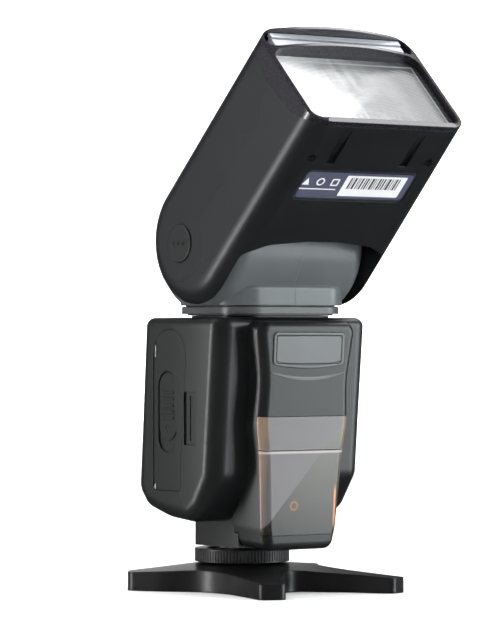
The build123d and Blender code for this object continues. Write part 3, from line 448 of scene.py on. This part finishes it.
# The scoop's lip under the name plate, in millimetres: both its edges are parabolas. It is a raised crescent
# that catches the lamps, coloured light grey as a painted highlight.
LIP_HALF_WIDTH = 17.5
LIP_UPPER, LIP_UPPER_RISE = 80.9, 1.9
LIP_LOWER, LIP_LOWER_RISE = 79.5, 3.0
LIP_STEPS = 24


def under_head(x, u, lift):
    """Point on the label under the head, lifted out of it."""
    depth = LABEL_DEPTH + lift / MM_PER_METRE
    return PIVOT + Vector((x / MM_PER_METRE, 0, 0)) + ALONG * (u / MM_PER_METRE) - UPWARD * depth


def on_nose(x, z, lift):
    """Point on the sloping front of the nose, lifted out of it."""
    height = z / MM_PER_METRE
    front = PLATE_FRONT - NOSE_SLOPE * (height - PLATE_TOP)
    return Vector((x / MM_PER_METRE, front - lift / MM_PER_METRE, height))


def corner_points(x0, y0, x1, y1, radius, steps=5):
    """Rounded rectangle outline."""
    points = []
    for cx, cy, start in ((x1 - radius, y1 - radius, 0), (x0 + radius, y1 - radius, 90),
                          (x0 + radius, y0 + radius, 180), (x1 - radius, y0 + radius, 270)):
        for k in range(steps + 1):
            angle = math.radians(start + 90 * k / steps)
            points.append((cx + radius * math.cos(angle), cy + radius * math.sin(angle)))
    return points


def box_points(x0, y0, x1, y1):
    """Plain rectangle outline."""
    return [(x0, y0), (x1, y0), (x1, y1), (x0, y1)]


def round_points(cx, cy, radius, steps=20):
    """Circle outline."""
    angles = [2 * math.pi * k / steps for k in range(steps)]
    return [(cx + radius * math.cos(angle), cy + radius * math.sin(angle)) for angle in angles]


def added_piece(name, form, body, finish):
    """Turn a closed form into a piece that rides a body."""
    bmesh.ops.recalc_face_normals(form, faces=form.faces[:])
    mesh = bpy.data.meshes.new(name)
    form.to_mesh(mesh)
    form.free()
    piece = new_object(name, mesh)
    dress(piece, finish)
    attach(piece, body)


def plate(name, outline, place, low, high, body, finish):
    """Thin closed plate; the outline is in millimetres on the face that `place` maps."""
    form = bmesh.new()
    under = [form.verts.new(place(a, b, low)) for a, b in outline]
    over = [form.verts.new(place(a, b, high)) for a, b in outline]
    form.faces.new(over)
    form.faces.new(list(reversed(under)))
    for k in range(len(outline)):
        following = (k + 1) % len(outline)
        form.faces.new((under[k], under[following], over[following], over[k]))
    added_piece(name, form, body, finish)


def framed(name, outer, inner, place, low, high, body, finish):
    """Thin closed frame between two outlines with equally many points."""
    form = bmesh.new()
    loops = [[form.verts.new(place(a, b, lift)) for a, b in outline]
             for outline, lift in ((outer, low), (outer, high), (inner, high), (inner, low))]
    for k in range(len(loops)):
        near, far = loops[k], loops[(k + 1) % len(loops)]
        for i in range(len(outer)):
            following = (i + 1) % len(outer)
            form.faces.new((near[i], near[following], far[following], far[i]))
    added_piece(name, form, body, finish)


def label_plate(name, outline, low, high, finish):
    """Print on the label under the head."""
    plate(name, outline, under_head, low, high, "head", finish)


def label_bars():
    """Plain bars of repeating widths and gaps."""
    x = BARS_START
    count = 0
    while x < BARS_END:
        width = BAR_WIDTHS[count % len(BAR_WIDTHS)]
        outline = box_points(x, BAR_FOOT, x + width, BAR_HEAD)
        label_plate("LabelBar_%02d" % count, outline, PRINT_TOP, INK_TOP, "print_black")
        x += width + BAR_GAP + BAR_GAP_STEP * (count % 3)
        count += 1


def label_prints():
    """White field with plain bars, three plain symbols, a rule, and a dark border.

    Places are in millimetres, across the head and along u.
    """
    label_plate("LabelField", corner_points(-6.6, 50.6, 21.6, 60.6, 0.4), 0.0, PRINT_TOP, "label_white")
    label_bars()
    triangle = [(-25.6, 55.6), (-22.4, 55.6), (-24.0, 59.0)]
    label_plate("LabelTriangle", triangle, 0.0, PRINT_TOP, "label_white")
    label_plate("LabelDisc", round_points(-17.6, 57.2, 1.8), 0.0, PRINT_TOP, "label_white")
    label_plate("LabelDiscHole", round_points(-17.6, 57.2, 1.2), PRINT_TOP, HOLE_TOP, "label_film")
    square = corner_points(-12.6, 55.4, -9.2, 58.8, 0.5)
    square_hole = corner_points(-12.0, 56.0, -9.8, 58.2, 0.3)
    label_plate("LabelSquare", square, 0.0, PRINT_TOP, "label_white")
    label_plate("LabelSquareHole", square_hole, PRINT_TOP, HOLE_TOP, "label_film")
    label_plate("LabelRule", box_points(-25.8, 53.4, -9.0, 53.9), 0.0, LINE_TOP, "label_white")
    outer = corner_points(-26.4, 48.6, 25.0, 62.6, 2.3)
    inner = corner_points(-25.7, 49.3, 24.3, 61.9, 1.8)
    framed("LabelGroove", outer, inner, under_head, -0.02, HOLE_TOP, "head", "print_black")


def nose_prints():
    """Border line of the name plate, and the shallow lip of the scoop below it, coloured light grey as a
    painted highlight.

    Places are in millimetres, across the nose and in height.
    """
    outer = corner_points(-15.5, 85.6, 15.5, 96.5, 1.2)
    inner = corner_points(-15.1, 86.0, 15.1, 96.1, 1.0)
    framed("PlateBorder", outer, inner, on_nose, 0.0, LINE_TOP, "flash_body", "inner_black")
    shares = [2.0 * k / LIP_STEPS - 1.0 for k in range(LIP_STEPS + 1)]
    upper = [(LIP_HALF_WIDTH * s, LIP_UPPER + LIP_UPPER_RISE * s * s) for s in shares]
    lower = [(LIP_HALF_WIDTH * s, LIP_LOWER + LIP_LOWER_RISE * s * s) for s in shares]
    outline = lower + list(reversed(upper[1:-1]))
    # The lip's light grey colour is a painted highlight.
    plate("ScoopLipPaintedHighlight", outline, on_nose, -0.7, -0.2, "flash_body", "plate_grey")


label_prints()
nose_prints()


# ---------------------------------------------------------------- studio

# The camera is turned from the front towards -X and tipped up a little, in degrees. Its place is in metres.
CAMERA_TURN = 37.0
CAMERA_DISTANCE = 1.3045
CAMERA_SHIFT = 0.00169
CAMERA_HEIGHT = 0.0957
CAMERA_RISE = 0.478
# Its lens and sensor are in millimetres.
FOCAL_LENGTH = 199.0
SENSOR_WIDTH = 36.0

# The floor, in metres: flat rings, then a quarter circle up to the wall.
FLAT_RADII = (1.2, 2.6)
CURVE_RADIUS = 1.2
CURVE_STEPS = 12
WALL_HEIGHT = 4.5
FLOOR_STEPS = 48

# Where the lamps aim, in metres: the key lamps at the part, the washes this far out and this high.
AIM = (0, -0.02, 0.11)
WASH_REACH = 4
WASH_HEIGHT = 0.4


def softbox(name, direction, distance, size, radiance, target=AIM, colour=(1, 1, 1)):
    """Rectangular softbox off camera; its power follows from its size and radiance."""
    lamp = bpy.data.lights.new(name, "AREA")
    lamp.shape = "RECTANGLE"
    lamp.size, lamp.size_y = size
    lamp.energy = math.pi * size[0] * size[1] * radiance
    lamp.color = colour
    holder = new_object(name, lamp)
    place = Vector(target) + Vector(direction).normalized() * distance
    holder.location = place
    holder.rotation_euler = (Vector(target) - place).to_track_quat("-Z", "Y").to_euler()
    holder.visible_camera = False
    return holder


def sweep_profile():
    """Radius and height of each ring of the floor, from the inside out."""
    edge = FLAT_RADII[-1]
    profile = [(radius, 0.0) for radius in FLAT_RADII]
    for i in range(1, CURVE_STEPS + 1):
        angle = math.radians(90 * i / CURVE_STEPS)
        profile.append((edge + CURVE_RADIUS * math.sin(angle), CURVE_RADIUS - CURVE_RADIUS * math.cos(angle)))
    profile.append((edge + CURVE_RADIUS, WALL_HEIGHT))
    return profile


def studio_floor():
    """Pale floor that sweeps up into a backdrop on every far side."""
    form = bmesh.new()
    rings = []
    for radius, height in sweep_profile():
        turns = [2 * math.pi * k / FLOOR_STEPS for k in range(FLOOR_STEPS)]
        rings.append([form.verts.new((radius * math.cos(turn), radius * math.sin(turn), height))
                      for turn in turns])
    centre = form.verts.new((0, 0, 0))
    for k in range(FLOOR_STEPS):
        form.faces.new((centre, rings[0][k], rings[0][(k + 1) % FLOOR_STEPS]))
    for low, high in zip(rings, rings[1:]):
        for k in range(FLOOR_STEPS):
            following = (k + 1) % FLOOR_STEPS
            form.faces.new((low[k], high[k], high[following], low[following]))
    mesh = bpy.data.meshes.new("StudioFloor")
    form.to_mesh(mesh)
    form.free()
    for polygon in mesh.polygons:
        polygon.use_smooth = True
    floor = new_object("StudioFloor", mesh)
    material, tree, shader = new_material("PaleSweep")
    cloud = noise(tree, object_coordinates(tree), scale=3.0, detail=3.0)
    tree.links.new(mixed(tree, cloud, (0.86, 0.86, 0.86), (0.89, 0.89, 0.89)), shader.inputs["Base Color"])
    shader.inputs["Roughness"].default_value = 0.9
    mesh.materials.append(material)
    floor.visible_glossy = False
    floor.visible_shadow = False


def camera():
    """Long lens, nearly level with the body."""
    turn = math.radians(CAMERA_TURN)
    forward = Vector((math.sin(turn), math.cos(turn), 0.0))
    right = Vector((math.cos(turn), -math.sin(turn), 0.0))
    data = bpy.data.cameras.new("Camera")
    data.lens = FOCAL_LENGTH
    data.sensor_width = SENSOR_WIDTH
    data.clip_end = 50.0
    holder = new_object("Camera", data)
    holder.location = -forward * CAMERA_DISTANCE + right * CAMERA_SHIFT + Vector((0, 0, CAMERA_HEIGHT))
    holder.rotation_euler = (math.radians(90.0 + CAMERA_RISE), 0.0, -turn)
    bpy.context.scene.camera = holder


def studio():
    """World, softboxes and colour handling."""
    scene = bpy.context.scene
    world = bpy.data.worlds.new("Studio")
    scene.world = world
    world.use_nodes = True
    background = world.node_tree.nodes["Background"]
    background.inputs["Color"].default_value = (1, 1, 1, 1)
    background.inputs["Strength"].default_value = 0.06
    scene.view_settings.view_transform = "Standard"
    softbox("FrontRight", (0.74, -0.67, 0.1), 1.3, (0.55, 1.0), 7.8, colour=(0.91, 0.985, 1.0))
    softbox("LeftRear", (-0.62, 0.78, 0.2), 1.3, (0.45, 1.0), 0.25)
    softbox("LeftStrip", (-0.91, 0.415, 0.02), 1.2, (0.14, 1.1), 20.0)
    softbox("LensBox", (0.7, -0.05, 0.85), 1.3, (0.6, 0.6), 5.0)
    softbox("Overhead", (-0.15, 0.35, 1.0), 1.7, (1.3, 1.3), 1.8)
    floor_fill = softbox("FloorFill", (0.0, 0.1, 1.0), 1.9, (2.0, 2.0), 3.2)
    floor_fill.visible_glossy = False
    softbox("RearLow", (0.4, 0.92, 0.12), 1.6, (0.9, 0.4), 1.2)
    for name, east, north, radiance in (("BackWash", 0.6, 0.8, 14.0), ("SideWash", 0.8, -0.6, 3.0),
                                        ("FrontWash", -0.6, -0.8, 3.0), ("LeftWash", -0.8, 0.6, 3.0)):
        target = (WASH_REACH * east, WASH_REACH * north, WASH_HEIGHT)
        softbox(name, (-east, -north, 0.62), 2.2, (2.4, 1.0), radiance, target)


camera()
studio_floor()
studio()
